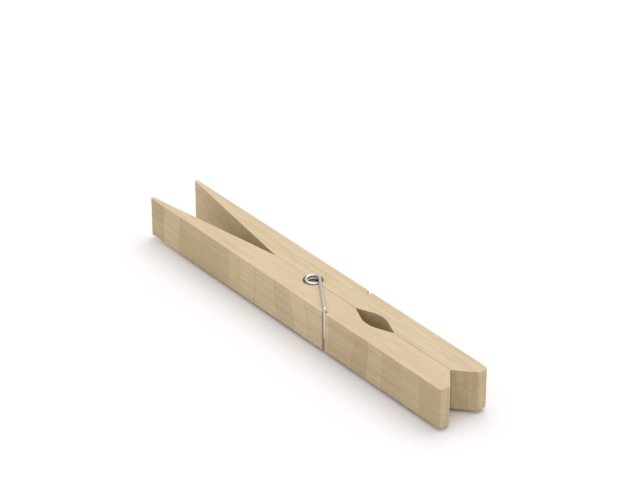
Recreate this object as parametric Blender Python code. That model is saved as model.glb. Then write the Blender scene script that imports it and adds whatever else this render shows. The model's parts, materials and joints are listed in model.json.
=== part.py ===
"""Wooden spring clothespin lying on its side.

Two wooden prongs, which are the same piece turned over, and one torsion spring
of steel wire. The wire is modelled as two halves that meet inside the coil,
because its two ends turn against each other when the tails are squeezed.

Frame: metres. +X runs from the tails to the jaws, +Z is up and Y crosses the
seam between the prongs. The origin is under the middle of the pin, level with
the lowest point of the spring's lower arm, which is what the pin lies on.
"""
import math

import bpy
from mathutils import Vector

COLLECTION = "clothespin"

# Prong stock
LENGTH = 0.088              # tail tip to jaw end
WIDTH = 0.0085              # between the two side faces
THICKNESS = 0.0058          # from the seam to the outer face
SEAM_GAP = 0.0003           # between the two prongs' inner faces

# Places along a prong, measured from the tail tip
HEEL_PLACE = 0.0328         # where the tail's slope starts, and the pin pivots
COIL_PLACE = 0.0444
HOOK_PLACE = 0.0546
LINE_NOTCH_PLACE = 0.0627   # middle of the notch for the line

# Tail and jaw
TAIL_TIP = 0.00065          # thickness of the tail at its tip
JAW_END = 0.00225           # thickness of the blunt jaw end
MOUTH_LENGTH = 0.0040       # length of the bevel that opens the jaws
JAW_CORNER_RADIUS = 0.0009  # rounded outer corner of the jaw end

# Notch for the line
LINE_NOTCH_LENGTH = 0.0112
LINE_NOTCH_DEPTH = 0.0019
LINE_NOTCH_RADIUS = 0.0053  # round bottom between its two slopes

# Torsion spring
WIRE_DIAMETER = 0.0006
COIL_RADIUS = 0.0013        # to the middle of the wire
TURN_GAP = 0.00012          # least gap between neighbouring turns
ARM_BEND_RADIUS = 0.0005    # where an arm turns down into its groove
HOOK_LENGTH = 0.0062        # from an arm's height down to the hook's end

# Clearances
ARM_GAP = 0.0001            # between an arm and the side face under it
HOOK_RECESS = 0.0001        # how far the hook lies below the outer face
HOOK_CLEARANCE = 0.0002     # around the hook in its groove
COIL_CLEARANCE = 0.00035    # around the coil in its seat
WIRE_CUT_GAP = 0.0003       # between the two halves of the wire

# Fineness of round shapes
ARC_STEP = math.radians(12)
COIL_STEP = math.radians(22.5)

# Worked out from the sizes above
WIRE_RADIUS = WIRE_DIAMETER / 2
ARM_HEIGHT = WIDTH / 2 + ARM_GAP + WIRE_RADIUS      # from mid-width to an arm
MID_HEIGHT = ARM_HEIGHT + WIRE_RADIUS               # of the pin above its support
HEEL_X = HEEL_PLACE - LENGTH / 2
COIL_X = COIL_PLACE - LENGTH / 2
HOOK_X = HOOK_PLACE - LENGTH / 2
HOOK_Y = THICKNESS - HOOK_RECESS - WIRE_RADIUS
LINE_NOTCH_X = LINE_NOTCH_PLACE - LENGTH / 2


def clear_scene():
    """Remove every object that the file opened with."""
    for obj in list(bpy.data.objects):
        bpy.data.objects.remove(obj, do_unlink=True)


def new_collection(name):
    collection = bpy.data.collections.new(name)
    bpy.context.scene.collection.children.link(collection)
    return collection


def principled(name, colour, roughness, metallic):
    """A plain Principled BSDF material."""
    material = bpy.data.materials.new(name)
    material.use_nodes = True
    shader = material.node_tree.nodes["Principled BSDF"]
    shader.inputs["Base Color"].default_value = (*colour, 1.0)
    shader.inputs["Roughness"].default_value = roughness
    shader.inputs["Metallic"].default_value = metallic
    return material


def prong_wood(name):
    return principled(name, colour=(0.64, 0.50, 0.33), roughness=0.62, metallic=0.0)


def spring_steel(name):
    return principled(name, colour=(0.70, 0.67, 0.63), roughness=0.28, metallic=1.0)


def arc(centre, radius, start, end):
    """Points of an arc about centre, from one angle to another, both included."""
    count = max(2, math.ceil(abs(end - start) / ARC_STEP))
    angles = [start + (end - start) * i / count for i in range(count + 1)]
    return [(centre[0] + radius * math.cos(a), centre[1] + radius * math.sin(a)) for a in angles]


def coil_seat(seam):
    """Round seat for the coil, open at the seam, from the tail side to the jaw side."""
    radius = COIL_RADIUS + WIRE_RADIUS + COIL_CLEARANCE
    lip = math.asin(seam / radius)
    return arc((COIL_X, 0.0), radius, math.pi - lip, lip)


def line_notch(seam):
    """Two slopes that run off a round bottom, from the tail side to the jaw side."""
    half = LINE_NOTCH_LENGTH / 2
    centre_y = seam + LINE_NOTCH_DEPTH - LINE_NOTCH_RADIUS
    reach = math.hypot(half, centre_y - seam)
    slope_end = math.atan2(seam - centre_y, half) + math.acos(LINE_NOTCH_RADIUS / reach)
    bottom = arc((LINE_NOTCH_X, centre_y), LINE_NOTCH_RADIUS, math.pi - slope_end, slope_end)
    return [(LINE_NOTCH_X - half, seam), *bottom, (LINE_NOTCH_X + half, seam)]


def hook_groove():
    """Round-bottomed groove in the outer face, from the jaw side to the tail side."""
    radius = WIRE_RADIUS + HOOK_CLEARANCE
    bottom = arc((HOOK_X, HOOK_Y), radius, 0.0, -math.pi)
    return [(HOOK_X + radius, THICKNESS), *bottom, (HOOK_X - radius, THICKNESS)]


def jaw_corner():
    """Rounded corner between the jaw end and the outer face."""
    centre = (LENGTH / 2 - JAW_CORNER_RADIUS, THICKNESS - JAW_CORNER_RADIUS)
    return arc(centre, JAW_CORNER_RADIUS, 0.0, math.pi / 2)


def prong_outline():
    """Outline of the prong on the +Y side of the seam, anticlockwise from its tail tip."""
    seam = SEAM_GAP / 2
    tail_x = -LENGTH / 2
    jaw_x = LENGTH / 2
    return [
        (tail_x, THICKNESS),
        (tail_x, THICKNESS - TAIL_TIP),
        (HEEL_X, seam),
        *coil_seat(seam),
        *line_notch(seam),
        (jaw_x - MOUTH_LENGTH, seam),
        (jaw_x, THICKNESS - JAW_END),
        *jaw_corner(),
        *hook_groove(),
    ]


def make_prong(collection, name, side):
    """A flat outline given the stock's width; side is +1 or -1 across the seam.

    Its origin is on the heel's axis, which the two prongs rock on.
    """
    curve = bpy.data.curves.new(name, "CURVE")
    curve.dimensions = "2D"
    curve.fill_mode = "BOTH"
    curve.extrude = WIDTH / 2
    outline = prong_outline()
    spline = curve.splines.new("POLY")
    spline.points.add(len(outline) - 1)
    for point, (x, y) in zip(spline.points, outline):
        point.co = (x - HEEL_X, side * y, 0.0, 1.0)
    spline.use_cyclic_u = True
    curve.materials.append(prong_wood(name + "_wood"))

    prong = bpy.data.objects.new(name, curve)
    prong.location = (HEEL_X, 0.0, MID_HEIGHT)
    collection.objects.link(prong)


def upper_hook_and_arm():
    """The wire from the upper hook's end to where the arm meets the coil.

    Heights are measured from mid-width. The arm is a tangent of the coil, which
    it leaves on the far side of the seam from its hook.
    """
    hook = Vector((HOOK_X, -HOOK_Y, 0.0))
    to_hook = hook - Vector((COIL_X, 0.0, 0.0))
    tangent_angle = math.atan2(to_hook.y, to_hook.x) + math.acos(COIL_RADIUS / to_hook.length)
    along_arm = Vector((math.sin(tangent_angle), -math.cos(tangent_angle), 0.0))
    up = Vector((0.0, 0.0, 1.0))

    bend_centre = hook - along_arm * ARM_BEND_RADIUS + up * (ARM_HEIGHT - ARM_BEND_RADIUS)
    steps = math.ceil(math.pi / 2 / ARC_STEP)
    angles = [math.pi / 2 * i / steps for i in range(steps + 1)]
    bend = [
        bend_centre + ARM_BEND_RADIUS * (along_arm * math.cos(a) + up * math.sin(a))
        for a in angles
    ]
    hook_end = hook + up * (ARM_HEIGHT - HOOK_LENGTH)
    return [hook_end, *bend], tangent_angle


def upper_half_coil(tangent_angle):
    """The coil from the arm down to just above mid-width, turning anticlockwise."""
    fraction = (-2 * tangent_angle / math.tau) % 1.0
    most_turns = 2 * ARM_HEIGHT / (WIRE_DIAMETER + TURN_GAP)
    turns = math.floor(most_turns - fraction) + fraction
    pitch = 2 * ARM_HEIGHT / turns
    half_sweep = turns * math.pi - WIRE_CUT_GAP / 2 / COIL_RADIUS
    steps = math.ceil(half_sweep / COIL_STEP)
    points = []
    for i in range(steps + 1):
        turned = half_sweep * i / steps
        angle = tangent_angle + turned
        x = COIL_X + COIL_RADIUS * math.cos(angle)
        y = COIL_RADIUS * math.sin(angle)
        points.append(Vector((x, y, ARM_HEIGHT - pitch * turned / math.tau)))
    return points


def make_wire(collection, name, points, origin):
    """A round wire through points, which are measured from mid-width."""
    curve = bpy.data.curves.new(name, "CURVE")
    curve.dimensions = "3D"
    curve.bevel_depth = WIRE_RADIUS
    curve.bevel_resolution = 2
    curve.use_fill_caps = True
    spline = curve.splines.new("POLY")
    spline.points.add(len(points) - 1)
    for point, place in zip(spline.points, points):
        point.co = (*(place - origin), 1.0)
    curve.materials.append(spring_steel(name + "_steel"))

    wire = bpy.data.objects.new(name, curve)
    wire.location = origin + Vector((0.0, 0.0, MID_HEIGHT))
    collection.objects.link(wire)


def make_spring(collection):
    """Upper and lower halves of the wire; the lower is the upper turned over about X."""
    arm, tangent_angle = upper_hook_and_arm()
    upper = arm + upper_half_coil(tangent_angle)
    lower = [Vector((p.x, -p.y, -p.z)) for p in upper]
    make_wire(collection, "spring_upper", upper, Vector((HOOK_X, -HOOK_Y, 0.0)))
    make_wire(collection, "spring_lower", lower, Vector((COIL_X, 0.0, 0.0)))


clear_scene()
parts = new_collection(COLLECTION)
make_prong(parts, "front_prong", side=-1)
make_prong(parts, "back_prong", side=1)
make_spring(parts)
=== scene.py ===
"""A wooden spring clothespin lying on its side on a pale studio floor.

The pin goes together from three pieces: two beech prongs, milled alike, and
one steel torsion spring. Metres throughout; +X runs to the jaws, +Z is up.
"""

import json
import math

import bpy
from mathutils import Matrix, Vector


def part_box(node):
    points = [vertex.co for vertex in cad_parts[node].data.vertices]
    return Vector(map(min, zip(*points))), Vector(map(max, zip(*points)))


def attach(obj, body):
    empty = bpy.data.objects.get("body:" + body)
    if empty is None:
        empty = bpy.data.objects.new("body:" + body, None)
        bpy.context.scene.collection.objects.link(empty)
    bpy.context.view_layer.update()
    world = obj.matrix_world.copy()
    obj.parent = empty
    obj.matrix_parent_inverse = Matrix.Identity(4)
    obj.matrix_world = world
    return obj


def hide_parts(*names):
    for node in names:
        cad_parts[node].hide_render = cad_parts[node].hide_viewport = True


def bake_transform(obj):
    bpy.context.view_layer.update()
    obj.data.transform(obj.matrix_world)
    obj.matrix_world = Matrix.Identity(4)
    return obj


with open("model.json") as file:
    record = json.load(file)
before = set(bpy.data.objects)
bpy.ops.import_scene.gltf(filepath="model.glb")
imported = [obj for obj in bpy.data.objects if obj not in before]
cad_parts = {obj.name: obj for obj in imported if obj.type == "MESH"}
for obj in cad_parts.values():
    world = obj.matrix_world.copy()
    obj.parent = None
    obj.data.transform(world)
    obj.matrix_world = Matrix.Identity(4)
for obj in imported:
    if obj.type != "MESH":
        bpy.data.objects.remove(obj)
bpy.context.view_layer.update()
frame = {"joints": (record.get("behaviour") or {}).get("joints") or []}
joints = {joint["name"]: joint for joint in frame["joints"]}

# ---------------------------------------------------------------------------
# Front prong: one length of pale, unvarnished beech. The stock is planed to
# width and thickness, then the tail is sawn to a taper and the spring's seat,
# the line notch, the jaw bevel and the hook groove are milled across it.
# ---------------------------------------------------------------------------
stock_low, stock_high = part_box("front_prong")
stock_middle = (stock_low + stock_high) / 2
tail_x, jaw_x = stock_low.x, stock_high.x
outer_y = stock_low.y
top_z, under_z = stock_high.z, stock_low.z
heel = Vector(joints["squeeze"]["pos_m"])
coil_axis = Vector(joints["spring_wind"]["pos_m"])
front_hook = Vector(joints["hook_turn"]["pos_m"])

seam_half_gap = 0.000008
seam_y = -seam_half_gap
tail_tip_thickness = 0.00065
jaw_end_thickness = 0.00225
mouth_length = 0.0040
jaw_corner_radius = 0.0009
jaw_corner_steps = 8
seat_radius = 0.00195
seat_sides = 96
notch_middle_x = 0.0187
notch_length = 0.0112
notch_ridge_depth = 0.00235
notch_round = 0.0022
notch_round_steps = 24
groove_radius = 0.00042
groove_sides = 32
outer_edge_ease = 0.00022
inner_edge_ease = 0.00005
hair = 1e-6                 # points nearer than this are level with each other
weld_distance = 1e-7        # points nearer than this are one point


def deselect_everything():
    """Leave object mode's selection empty, so that an operator meets only its own piece."""
    if bpy.context.object and bpy.context.object.mode != "OBJECT":
        bpy.ops.object.mode_set(mode="OBJECT")
    bpy.ops.object.select_all(action="DESELECT")


def take_up(piece):
    """Make piece the only selected and active object."""
    deselect_everything()
    piece.select_set(True)
    bpy.context.view_layer.objects.active = piece


def block(name, low, high):
    """A solid block between two corners."""
    deselect_everything()
    bpy.ops.mesh.primitive_cube_add(size=1, location=(low + high) / 2)
    piece = bpy.context.object
    piece.name = name
    piece.scale = high - low
    bpy.ops.object.transform_apply(location=True, rotation=True, scale=True)
    return piece


def rod(name, radius, middle, length, sides):
    """An upright round cutter, with its place in its mesh."""
    deselect_everything()
    bpy.ops.mesh.primitive_cylinder_add(
        vertices=sides, radius=radius, depth=length, location=middle
    )
    piece = bpy.context.object
    piece.name = name
    bpy.ops.object.transform_apply(location=True, rotation=True, scale=True)
    return piece


def saw_off(piece, point, away):
    """Saw straight through piece at point and drop what lies on the side of away."""
    take_up(piece)
    bpy.ops.object.mode_set(mode="EDIT")
    bpy.ops.mesh.select_all(action="SELECT")
    bpy.ops.mesh.bisect(
        plane_co=point,
        plane_no=Vector(away).normalized(),
        use_fill=True,
        clear_outer=True,
        threshold=weld_distance,
    )
    bpy.ops.object.mode_set(mode="OBJECT")


def mill(piece, cutter):
    """Cut the cutter's shape out of piece, and put the cutter away."""
    take_up(piece)
    cut = piece.modifiers.new("Cut", "BOOLEAN")
    cut.operation = "DIFFERENCE"
    cut.solver = "EXACT"
    cut.object = cutter
    bpy.ops.object.modifier_apply(modifier=cut.name)
    bpy.data.objects.remove(cutter)


def select_edges(piece, wanted):
    """In edit mode on piece, select the edges whose two ends wanted(a, b) accepts."""
    take_up(piece)
    bpy.ops.object.mode_set(mode="EDIT")
    bpy.ops.mesh.select_mode(type="EDGE")
    bpy.ops.mesh.select_all(action="DESELECT")
    bpy.ops.object.mode_set(mode="OBJECT")
    places = [vertex.co for vertex in piece.data.vertices]
    for edge in piece.data.edges:
        a, b = (places[i] for i in edge.vertices)
        edge.select = wanted(a, b)
    bpy.ops.object.mode_set(mode="EDIT")


front_prong = block(
    "front_prong_beech",
    Vector((tail_x, outer_y, under_z)),
    Vector((jaw_x, seam_y, top_z)),
)

# The tail's slope starts at the heel and leaves a thin tip; the jaw's bevel
# opens a mouth that guides cloth and line in.
tail_run = heel.x - tail_x
tail_rise = seam_y - (outer_y + tail_tip_thickness)
saw_off(front_prong, (heel.x, seam_y, 0), (-tail_rise, tail_run, 0))
mouth_rise = seam_y - (outer_y + jaw_end_thickness)
saw_off(front_prong, (jaw_x - mouth_length, seam_y, 0), (mouth_rise, mouth_length, 0))


def on_jaw_corner(a, b):
    """Whether the edge from a to b is the outer one of the jaw's blunt end."""
    return min(a.x, b.x) > jaw_x - hair and max(a.y, b.y) < outer_y + hair


select_edges(front_prong, on_jaw_corner)
bpy.ops.mesh.bevel(offset=jaw_corner_radius, segments=jaw_corner_steps, affect="EDGES")
bpy.ops.object.mode_set(mode="OBJECT")

# Seat for the coil. Every cutter runs well past both side faces.
overcut = 2 * (top_z - under_z)
mill(front_prong, rod("seat_cutter", seat_radius, coil_axis, overcut, seat_sides))

# Notch for the line: a wedge whose ridge is rounded before it cuts.
ridge_y = seam_y - notch_ridge_depth
notch_cutter = block(
    "notch_cutter",
    Vector((notch_middle_x - notch_length / 2, ridge_y, under_z - overcut)),
    Vector((notch_middle_x + notch_length / 2, seam_y, top_z + overcut)),
)


def on_ridge(a, b):
    """Whether the edge from a to b lies as deep as the notch's ridge."""
    return max(a.y, b.y) < ridge_y + hair


select_edges(notch_cutter, on_ridge)
bpy.ops.transform.resize(value=(0, 1, 1), center_override=(notch_middle_x, ridge_y, 0))
bpy.ops.mesh.remove_doubles(threshold=weld_distance)
select_edges(notch_cutter, on_ridge)
bpy.ops.mesh.bevel(offset=notch_round, segments=notch_round_steps, affect="EDGES")
bpy.ops.object.mode_set(mode="OBJECT")
mill(front_prong, notch_cutter)

# Groove for the hook: a round bottom, open to the outer face.
mill(front_prong, rod("groove_cutter", groove_radius, front_hook, overcut, groove_sides))
groove_mouth = Vector((groove_radius, front_hook.y - outer_y + groove_radius, overcut))
mill(
    front_prong,
    block(
        "groove_mouth_cutter",
        front_hook - groove_mouth,
        front_hook + groove_mouth * Vector((1, 0, 1)),
    ),
)


def pressed_shut(point):
    """Whether point is on the stretch from heel to coil where the spring shuts the seam tight."""
    return heel.x - hair < point.x < coil_axis.x and point.y > seam_y - hair


def ease_edges(piece):
    """Sand the arrises: the outside ones well, the ones along the seam and the cuts barely."""
    least_turn = math.radians(25)
    groove_reach = 1.5 * groove_radius
    outer_part_y = outer_y + jaw_end_thickness / 2
    sides_of = {}
    for face in piece.data.polygons:
        for key in face.edge_keys:
            sides_of.setdefault(key, []).append(face.normal)
    weights = piece.data.attributes.new("bevel_weight_edge", "FLOAT", "EDGE")
    for edge in piece.data.edges:
        normals = sides_of[tuple(sorted(edge.vertices))]
        if normals[0].angle(normals[-1]) < least_turn:
            continue
        a, b = (piece.data.vertices[i].co for i in edge.vertices)
        if pressed_shut(a) and pressed_shut(b):
            continue
        off_groove = min(abs(p.x - front_hook.x) for p in (a, b)) > groove_reach
        outside = max(a.y, b.y) < outer_part_y and off_groove
        outside = outside or min(a.x, b.x) > jaw_x - jaw_corner_radius
        weights.data[edge.index].value = 1.0 if outside else inner_edge_ease / outer_edge_ease
    take_up(piece)
    ease = piece.modifiers.new("Ease", "BEVEL")
    ease.limit_method = "WEIGHT"
    ease.width = outer_edge_ease
    ease.segments = 3
    bpy.ops.object.modifier_apply(modifier=ease.name)


ease_edges(front_prong)


def score(piece, spacing):
    """Score the surface into small cells, so that it can take the unevenness of wood."""
    lowest, highest = 0, 6      # as bound_box numbers its corners
    low = Vector(piece.bound_box[lowest])
    size = Vector(piece.bound_box[highest]) - low
    take_up(piece)
    bpy.ops.object.mode_set(mode="EDIT")
    for axis in range(3):
        count = round(size[axis] / spacing)
        normal = [0, 0, 0]
        normal[axis] = 1
        for i in range(1, count):
            point = low.copy()
            point[axis] += size[axis] * i / count
            bpy.ops.mesh.select_all(action="SELECT")
            bpy.ops.mesh.bisect(plane_co=point, plane_no=normal, threshold=weld_distance)
    bpy.ops.object.mode_set(mode="OBJECT")


score(front_prong, spacing=0.0009)


def wear(piece, depth, patch):
    """Lower the surface unevenly, by up to depth in soft patches, as planing leaves it."""
    unevenness = bpy.data.textures.new(piece.name + "_unevenness", "CLOUDS")
    unevenness.noise_scale = patch
    worn = piece.vertex_groups.new(name="worn")
    worn.add([v.index for v in piece.data.vertices if not pressed_shut(v.co)], 1.0, "ADD")
    take_up(piece)
    dips = piece.modifiers.new("Wear", "DISPLACE")
    dips.vertex_group = worn.name
    dips.texture = unevenness
    dips.texture_coords = "LOCAL"
    dips.mid_level = 1.0
    dips.strength = depth
    bpy.ops.object.modifier_apply(modifier=dips.name)
    bpy.ops.object.shade_smooth_by_angle(angle=math.radians(30))
    shading = piece.modifiers.new("Shading", "WEIGHTED_NORMAL")
    shading.keep_sharp = True
    bpy.ops.object.modifier_apply(modifier=shading.name)


wear(front_prong, depth=0.00005, patch=0.004)


def add_node(tree, kind, settings=None, inputs=None):
    """A shader node with its settings, and its inputs set to values or linked to sockets."""
    made = tree.nodes.new(kind)
    for name, value in (settings or {}).items():
        setattr(made, name, value)
    for key, value in (inputs or {}).items():
        if isinstance(value, bpy.types.NodeSocket):
            tree.links.new(value, made.inputs[key])
        else:
            made.inputs[key].default_value = value
    return made


def beech(name, shift, light, tan):
    """Bare beech: faint long streaks, growth rings across, short flecks and open end grain.

    shift says where in the timber the piece was cut. A grain is how fine a
    pattern is along the prong, across it and up it, in features to the metre.
    """
    ring_shade = (0.79, 0.765, 0.70, 1)
    greenish_shade = (0.95, 0.99, 0.90, 1)
    fleck_shade = (0.74, 0.62, 0.50, 1)
    end_shade = (0.85, 0.81, 0.75, 1)
    rubbed_gleam = (0.25, 0.23, 0.19, 1)
    rings_to_metre = 200.0
    ring_lean = (0, 0.05, 0.12)
    ring_softness = 0.12
    ring_share_on_sides = 0.2
    line_darkness = 0.6
    fleck_darkness = 0.35
    rubbed_strength = 0.5
    smoothest = 0.56
    roughness_of_streaks = 0.12
    fleck_depth = 0.4
    fibre_height = 0.5
    end_line_depth = 1.2

    material = bpy.data.materials.new(name)
    material.use_nodes = True
    tree = material.node_tree
    shader = tree.nodes["Principled BSDF"]
    coordinates = add_node(tree, "ShaderNodeTexCoord")
    facing = add_node(tree, "ShaderNodeSeparateXYZ", inputs={0: coordinates.outputs["Normal"]})

    def maths(operation, a, b=0.0, c=0.0):
        inputs = {0: a, 1: b, 2: c}
        return add_node(tree, "ShaderNodeMath", {"operation": operation}, inputs).outputs[0]

    def between(value, start, end):
        """0 where value is at start, 1 where it is at end, and smooth between them."""
        inputs = {"Value": value, "From Min": start, "From Max": end}
        settings = {"interpolation_type": "SMOOTHSTEP"}
        return add_node(tree, "ShaderNodeMapRange", settings, inputs).outputs[0]

    def in_timber(scale=(1, 1, 1), turn=(0, 0, 0)):
        """Places on the piece as places in the timber it was cut from."""
        place = {"Vector": coordinates.outputs["Object"], "Location": shift}
        place.update({"Rotation": turn, "Scale": scale})
        return add_node(tree, "ShaderNodeMapping", inputs=place).outputs[0]

    def noise(grain, detail=2.0, roughness=0.5):
        inputs = {"Vector": in_timber(grain), "Scale": 1.0}
        inputs.update({"Detail": detail, "Roughness": roughness})
        return add_node(tree, "ShaderNodeTexNoise", inputs=inputs).outputs[0]

    def mix(kind, factor, a, b):
        settings = {"data_type": "RGBA", "blend_type": kind}
        return add_node(tree, "ShaderNodeMix", settings, {0: factor, 6: a, 7: b}).outputs[2]

    across = between(maths("ABSOLUTE", facing.outputs["Y"]), start=0.5, end=0.95)
    end_on = between(maths("ABSOLUTE", facing.outputs["X"]), start=0.35, end=0.75)
    upright = maths("ABSOLUTE", facing.outputs["Z"])
    arris = maths("MULTIPLY", upright, maths("SUBTRACT", 1.0, upright))

    # Growth rings cross the prong steeply: flat tones that change at a crisp edge.
    slanted = in_timber(turn=ring_lean)
    lengthwise = add_node(tree, "ShaderNodeSeparateXYZ", inputs={0: slanted}).outputs["X"]
    wander = noise(grain=(40, 90, 90), detail=1.0)
    ring_place = {"W": maths("MULTIPLY_ADD", lengthwise, rings_to_metre, wander), "Scale": 1.0}
    ring_kind = {"voronoi_dimensions": "1D", "feature": "SMOOTH_F1"}
    softly = {**ring_place, "Smoothness": ring_softness}
    ring = add_node(tree, "ShaderNodeTexVoronoi", ring_kind, softly).outputs["Color"]
    ring_parts = add_node(tree, "ShaderNodeSeparateColor", inputs={0: ring})
    ring_tone, ring_hue, ring_edged = ring_parts.outputs
    border_kind = {"voronoi_dimensions": "1D", "feature": "DISTANCE_TO_EDGE"}
    border = add_node(tree, "ShaderNodeTexVoronoi", border_kind, ring_place).outputs["Distance"]
    ring_lines = maths(
        "MULTIPLY",
        between(border, start=0.07, end=0.0),
        between(ring_edged, start=0.45, end=0.55),
    )

    streak_noise = noise(grain=(70, 1300, 1300), detail=4.0, roughness=0.6)
    streaks = between(streak_noise, start=0.3, end=0.7)
    fibres = noise(grain=(250, 9000, 9000))
    flecks = between(noise(grain=(800, 7000, 7000), detail=1.0), start=0.64, end=0.74)
    end_lines = noise(grain=(300, 1500, 110), detail=2.5, roughness=0.6)
    rubbed_patches = between(noise(grain=(400, 900, 900)), start=0.4, end=0.6)

    shows = maths("MULTIPLY_ADD", across, 1.0 - ring_share_on_sides, ring_share_on_sides)
    line_share = maths("MULTIPLY", ring_lines, maths("MULTIPLY", across, line_darkness))
    end_share = maths("MULTIPLY", end_on, between(end_lines, start=0.3, end=0.75))
    rubbed = maths("MULTIPLY", rubbed_patches, arris)
    colour = mix("MIX", streaks, (*light, 1), (*tan, 1))
    colour = mix("MULTIPLY", maths("MULTIPLY", ring_tone, shows), colour, ring_shade)
    colour = mix("MULTIPLY", maths("MULTIPLY", ring_hue, shows), colour, greenish_shade)
    colour = mix("MULTIPLY", line_share, colour, ring_shade)
    colour = mix("MULTIPLY", maths("MULTIPLY", flecks, fleck_darkness), colour, fleck_shade)
    colour = mix("MULTIPLY", end_share, colour, end_shade)
    colour = mix("SCREEN", maths("MULTIPLY", rubbed, rubbed_strength), colour, rubbed_gleam)
    tree.links.new(colour, shader.inputs["Base Color"])

    roughness = maths("MULTIPLY_ADD", streaks, roughness_of_streaks, smoothest)
    tree.links.new(roughness, shader.inputs["Roughness"])
    shader.inputs["Specular IOR Level"].default_value = 0.35

    fibre_relief = maths("MULTIPLY", fibres, fibre_height)
    relief = maths("MULTIPLY_ADD", flecks, -fleck_depth, fibre_relief)
    end_relief = maths("MULTIPLY", maths("MULTIPLY", end_lines, end_on), end_line_depth)
    relief = maths("SUBTRACT", relief, end_relief)
    depth = {"Height": relief, "Distance": 0.00003, "Strength": 0.6}
    bump = add_node(tree, "ShaderNodeBump", inputs=depth)
    tree.links.new(bump.outputs[0], shader.inputs["Normal"])
    return material


# The back prong starts as a copy of the front one, taken before it gets its wood.
take_up(front_prong)
bpy.ops.object.duplicate()
back_prong = bpy.context.object
back_prong.name = "back_prong_beech"

front_wood = beech(
    "front_beech", shift=(4.81, 0, 0), light=(0.67, 0.535, 0.362), tan=(0.612, 0.466, 0.298)
)
front_prong.data.materials.append(front_wood)
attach(front_prong, "front_prong")
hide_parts("front_prong")

# ---------------------------------------------------------------------------
# Back prong: the same milled piece of beech, turned over about the pin's long
# axis. It is cut from another place in the timber, so its rings fall elsewhere.
# ---------------------------------------------------------------------------
take_up(back_prong)
bpy.ops.transform.rotate(
    value=math.pi, orient_axis="X", center_override=(0, 0, stock_middle.z)
)
bpy.ops.object.transform_apply(location=True, rotation=True, scale=True)
back_wood = beech(
    "back_beech", shift=(5.71, 2.1, 7.7), light=(0.655, 0.54, 0.36), tan=(0.595, 0.468, 0.29)
)
back_prong.data.materials.append(back_wood)
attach(back_prong, "back_prong")
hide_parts("back_prong")

# ---------------------------------------------------------------------------
# Torsion spring: one length of bright drawn steel wire, wound close. Each end
# leaves the coil as an arm over a side face and bends down into a groove.
# ---------------------------------------------------------------------------
spring_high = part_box("spring_upper")[1]
wire_radius = 0.000295
wire_sides = 16
coil_radius = 0.0013
arm_bend_radius = 0.0005
arm_bend_steps = 10
hook_length = 0.0062
hook_end_ease = wire_radius / 4
turn_gap = 0.00012
steps_in_turn = 48
arm_z = spring_high.z - wire_radius

to_hook = (front_hook - coil_axis) * Vector((1, 1, 0))
tangent_angle = math.atan2(to_hook.y, to_hook.x) + math.acos(coil_radius / to_hook.length)
along_arm = Vector((math.sin(tangent_angle), -math.cos(tangent_angle), 0))
arm_length = math.sqrt(to_hook.length**2 - coil_radius**2)

# The coil is a ring of wire swept round and down by a whole number of turns and
# the part turn that brings the lower arm out opposite the upper one.
part_turn = (-2 * tangent_angle / math.tau) % 1.0
coil_height = 2 * (arm_z - coil_axis.z)
most_turns = coil_height / (2 * wire_radius + turn_gap)
turns = math.floor(most_turns - part_turn) + part_turn
deselect_everything()
bpy.ops.mesh.primitive_circle_add(
    vertices=wire_sides,
    radius=wire_radius,
    location=(coil_radius, 0, 0),
    rotation=(math.pi / 2, 0, 0),
)
spring = bpy.context.object
spring.name = "spring_wire"
bpy.ops.object.transform_apply(location=True, rotation=True, scale=True)
winding = spring.modifiers.new("Winding", "SCREW")
winding.axis = "Z"
winding.angle = turns * math.tau
winding.screw_offset = -coil_height
winding.steps = round(turns * steps_in_turn)
winding.render_steps = winding.steps
bpy.ops.object.modifier_apply(modifier=winding.name)
spring.rotation_euler.z = tangent_angle
spring.location = (coil_axis.x, coil_axis.y, arm_z)
bpy.ops.object.transform_apply(location=True, rotation=True, scale=True)


def draw_out(turned, side, way):
    """Draw wire on from one end of the coil: a straight arm, a round bend and the hook.

    turned is the end's angle round the coil, side is 1 for the upper end and -1
    for the lower one, and way is the direction that the arm leaves in.
    """
    end = coil_axis + Vector((math.cos(turned), math.sin(turned), 0)) * coil_radius
    end.z += side * coil_height / 2
    at_end = [
        (point - end).length < wire_radius + hair and abs((point - end).dot(way)) < hair
        for point in (vertex.co for vertex in spring.data.vertices)
    ]
    take_up(spring)
    bpy.ops.object.mode_set(mode="EDIT")
    bpy.ops.mesh.select_mode(type="VERT")
    bpy.ops.mesh.select_all(action="DESELECT")
    bpy.ops.object.mode_set(mode="OBJECT")
    spring.data.vertices.foreach_set("select", at_end)
    bpy.ops.object.mode_set(mode="EDIT")
    bpy.ops.mesh.select_mode(type="EDGE")
    to_bend = way * (arm_length - arm_bend_radius)
    bpy.ops.mesh.extrude_region_move(TRANSFORM_OT_translate={"value": to_bend})
    inward = Vector((0, 0, -side))
    bpy.ops.mesh.spin(
        steps=arm_bend_steps,
        angle=-math.pi / 2,
        center=end + to_bend + inward * arm_bend_radius,
        axis=way.cross(inward),
    )
    hook_run = inward * (hook_length - arm_bend_radius)
    bpy.ops.mesh.extrude_region_move(TRANSFORM_OT_translate={"value": hook_run})
    bpy.ops.mesh.edge_face_add()
    bpy.ops.mesh.bevel(offset=hook_end_ease, segments=2, affect="EDGES")
    bpy.ops.object.mode_set(mode="OBJECT")


mirrored_in_seam = Vector((1, -1, 1))
draw_out(tangent_angle, 1, along_arm)
draw_out(-tangent_angle, -1, along_arm * mirrored_in_seam)
bpy.ops.object.mode_set(mode="EDIT")
bpy.ops.mesh.select_all(action="SELECT")
bpy.ops.mesh.remove_doubles(threshold=weld_distance)
bpy.ops.mesh.normals_make_consistent(inside=False)
bpy.ops.object.mode_set(mode="OBJECT")
bpy.ops.object.shade_smooth_by_angle(angle=math.radians(40))


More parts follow.
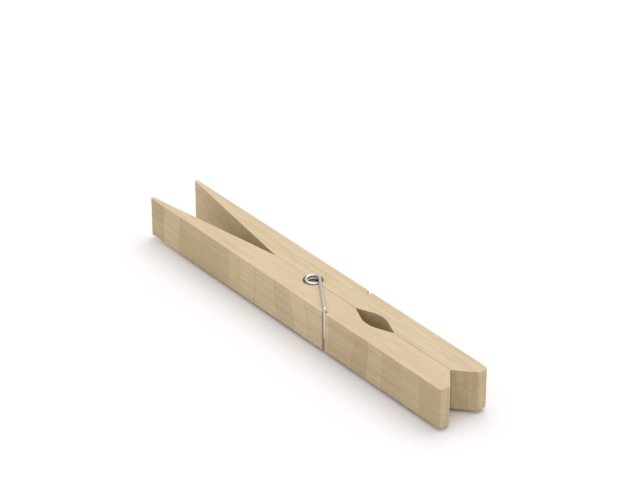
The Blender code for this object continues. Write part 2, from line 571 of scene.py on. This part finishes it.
def bright_wire(name):
    """Drawn steel: bright, with duller patches and fine pits."""
    bright = (0.78, 0.745, 0.70, 1)
    dull = (0.62, 0.59, 0.55, 1)
    patches_to_metre = 700.0
    pits_to_metre = 9000.0
    material = bpy.data.materials.new(name)
    material.use_nodes = True
    tree = material.node_tree
    shader = tree.nodes["Principled BSDF"]
    shader.inputs["Metallic"].default_value = 1.0
    coordinates = add_node(tree, "ShaderNodeTexCoord").outputs["Object"]

    patch_inputs = {"Vector": coordinates, "Scale": patches_to_metre, "Detail": 3.0}
    patches = add_node(tree, "ShaderNodeTexNoise", inputs=patch_inputs).outputs[0]
    tone_inputs = {0: patches, 6: bright, 7: dull}
    tone = add_node(tree, "ShaderNodeMix", {"data_type": "RGBA"}, tone_inputs)
    tree.links.new(tone.outputs[2], shader.inputs["Base Color"])
    gloss_inputs = {"Value": patches, "From Min": 0.3, "From Max": 0.7}
    gloss_inputs.update({"To Min": 0.16, "To Max": 0.30})
    gloss = add_node(tree, "ShaderNodeMapRange", inputs=gloss_inputs)
    tree.links.new(gloss.outputs[0], shader.inputs["Roughness"])

    pit_inputs = {"Vector": coordinates, "Scale": pits_to_metre, "Detail": 2.0}
    pits = add_node(tree, "ShaderNodeTexNoise", inputs=pit_inputs).outputs[0]
    depth = {"Height": pits, "Distance": 0.000006, "Strength": 0.5}
    bump = add_node(tree, "ShaderNodeBump", inputs=depth)
    tree.links.new(bump.outputs[0], shader.inputs["Normal"])
    return material


spring.data.materials.append(bright_wire("bright_wire"))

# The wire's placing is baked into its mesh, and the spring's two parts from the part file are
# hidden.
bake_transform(spring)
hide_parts("spring_upper", "spring_lower")

# ---------------------------------------------------------------------------
# Studio: a wide floor of matt, near-white paper, soft light from all round and
# one large softbox that hangs overhead, a little behind the pin.
# ---------------------------------------------------------------------------
floor_width = 12
floor_white = (0.90, 0.895, 0.90, 1)
softbox_place = Vector((-0.1, 0.35, 1.2))
softbox_width = 1.2
softbox_watts = 8.7
softbox_white = (1.0, 1.0, 0.985)
room_white = (1.0, 0.975, 1.0, 1)
room_brightness = 0.76

deselect_everything()
bpy.ops.mesh.primitive_plane_add(size=floor_width, location=(0, 0, 0))
floor = bpy.context.object
floor.name = "studio_floor"
floor_paper = bpy.data.materials.new("floor_paper")
floor_paper.use_nodes = True
floor_shader = floor_paper.node_tree.nodes["Principled BSDF"]
floor_shader.inputs["Base Color"].default_value = floor_white
floor_shader.inputs["Roughness"].default_value = 0.9
floor_shader.inputs["Specular IOR Level"].default_value = 0.1
floor.data.materials.append(floor_paper)

studio = bpy.data.worlds.new("studio")
studio.use_nodes = True
bpy.context.scene.world = studio
room = studio.node_tree.nodes["Background"]
room.inputs["Color"].default_value = room_white
room.inputs["Strength"].default_value = room_brightness

bpy.ops.object.light_add(type="AREA", location=softbox_place)
softbox = bpy.context.object
softbox.name = "softbox"
softbox.data.shape = "SQUARE"
softbox.data.size = softbox_width
softbox.data.energy = softbox_watts
softbox.data.color = softbox_white
softbox.rotation_euler = (stock_middle - softbox_place).to_track_quat("-Z", "Y").to_euler()

bpy.context.scene.view_settings.view_transform = "Standard"

# ---------------------------------------------------------------------------
# Camera: a long lens in front of the pin and to the right of its jaws, looking
# down on it. It tilts up from straight down, and turns left from looking at +Y.
# ---------------------------------------------------------------------------
camera_place = (0.35194, -0.28395, 0.29258)
camera_tilt = math.radians(58.72)
camera_turn = math.radians(50.90)
focal_length_mm = 157.5
sensor_width_mm = 36
nearest_seen = 0.01

bpy.ops.object.camera_add(location=camera_place, rotation=(camera_tilt, 0, camera_turn))
camera = bpy.context.object
camera.name = "studio_camera"
camera.data.lens = focal_length_mm
camera.data.sensor_width = sensor_width_mm
camera.data.clip_start = nearest_seen
bpy.context.scene.camera = camera
